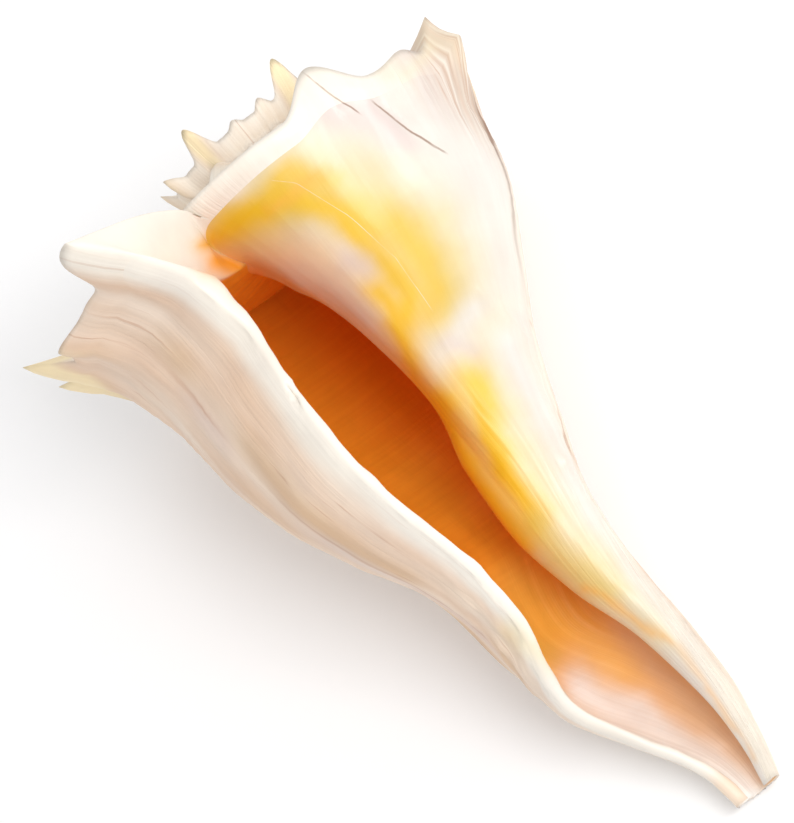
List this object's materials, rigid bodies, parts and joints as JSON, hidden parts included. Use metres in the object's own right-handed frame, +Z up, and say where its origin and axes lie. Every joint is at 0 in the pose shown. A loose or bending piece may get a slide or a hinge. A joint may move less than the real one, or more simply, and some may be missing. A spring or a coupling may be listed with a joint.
{
  "type": "lightning whelk shell",
  "caption": "Large left-coiling sea snail shell lying on its back, with a long open canal, a glossy orange mouth, a thick white lip and blunt spines along its shoulder.",
  "frame": {"origin": "centre of the underside of the box around the resting shell", "axes": "+Z up with the opening facing up, +Y towards the spire, so the canal's end is at -Y, and +X to the side away from the outer lip"},
  "size_m": [0.1268, 0.193, 0.137],
  "materials": {
    "shell": "glossy"
  },
  "bodies": {
    "root": {"shell": "shell"}
  },
  "joints": []
}
